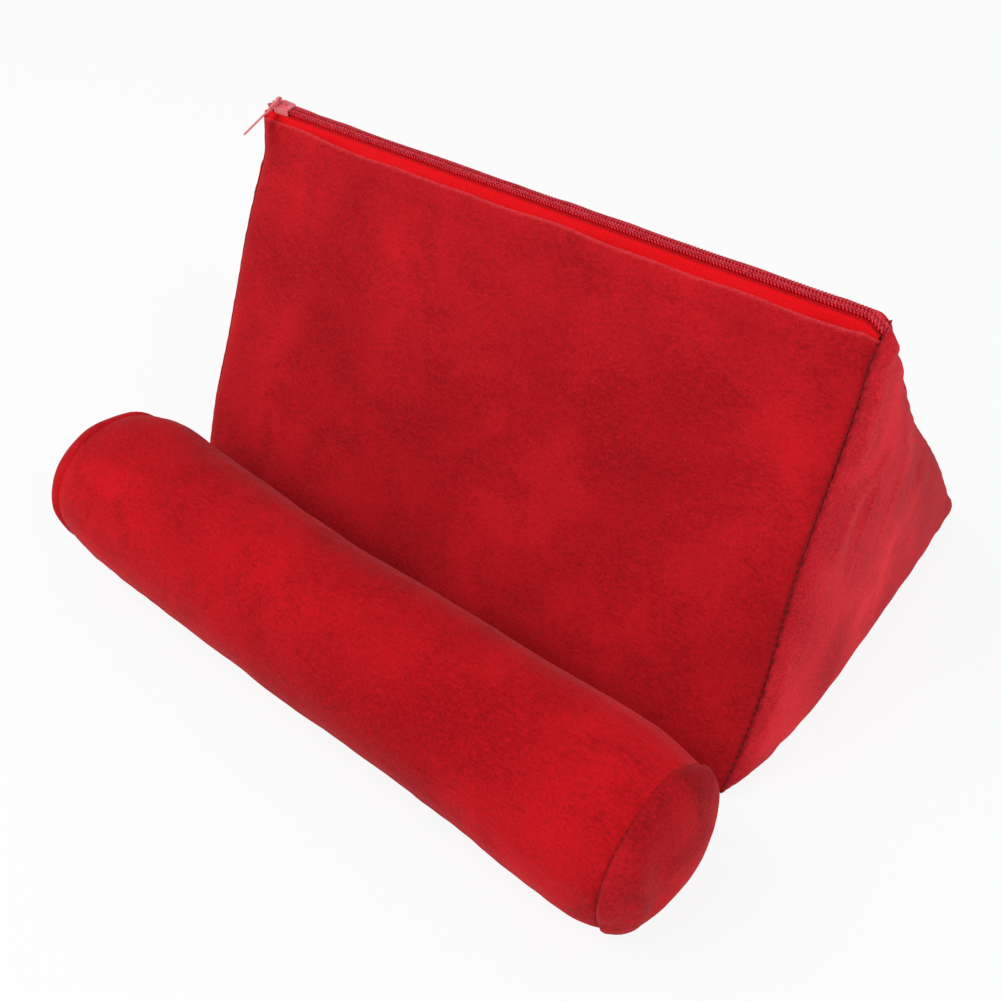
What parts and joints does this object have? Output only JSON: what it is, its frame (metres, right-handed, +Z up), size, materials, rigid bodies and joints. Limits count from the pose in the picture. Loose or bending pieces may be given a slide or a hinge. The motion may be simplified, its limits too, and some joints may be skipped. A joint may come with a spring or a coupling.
{
  "type": "tablet cushion stand",
  "caption": "Triangular foam wedge in a zipped plush cover that leans a tablet or book on its sloping face, with a padded roll along the foot to stop it sliding.",
  "frame": {"origin": "centre of the wedge's flat underside", "axes": "+X along the ridge and the zip, towards the end where the slider stops when open; -Y towards the roll and the reader; +Z up"},
  "size_m": [0.301, 0.2861, 0.1649],
  "materials": {
    "plush": "short-pile plush with a mottled nap",
    "foam": "open-cell foam, out of sight",
    "tape": "woven polyester zip tape",
    "coil": "nylon coil with sewing thread through it",
    "paint": "satin paint"
  },
  "bodies": {
    "cushion": {"wedge_foam": "foam", "front_panel": "plush", "back_panel": "plush", "base_panel": "plush", "left_side_panel": "plush", "right_side_panel": "plush", "zip_tape_front": "tape", "zip_tape_back": "tape", "zip_coil_front": "coil", "zip_coil_back": "coil", "roll_foam": "foam", "roll_cover": "plush", "roll_left_end": "plush", "roll_right_end": "plush", "joining_strip": "plush"},
    "slider": {"zip_slider": "paint"},
    "pull": {"zip_pull": "paint"}
  },
  "joints": [
    {"name": "slider_travel", "type": "slide", "parent": "cushion", "child": "slider", "axis": [1, 0, 0], "range_m": [0, 0.25], "deforming": ["zip_coil_front", "zip_coil_back"]},
    {"name": "pull_swing", "type": "hinge", "parent": "slider", "child": "pull", "pos_m": [-0.13275, -0.02955, 0.16362], "axis": [-1, 0, 0], "range_deg": [0, 205]}
  ]
}
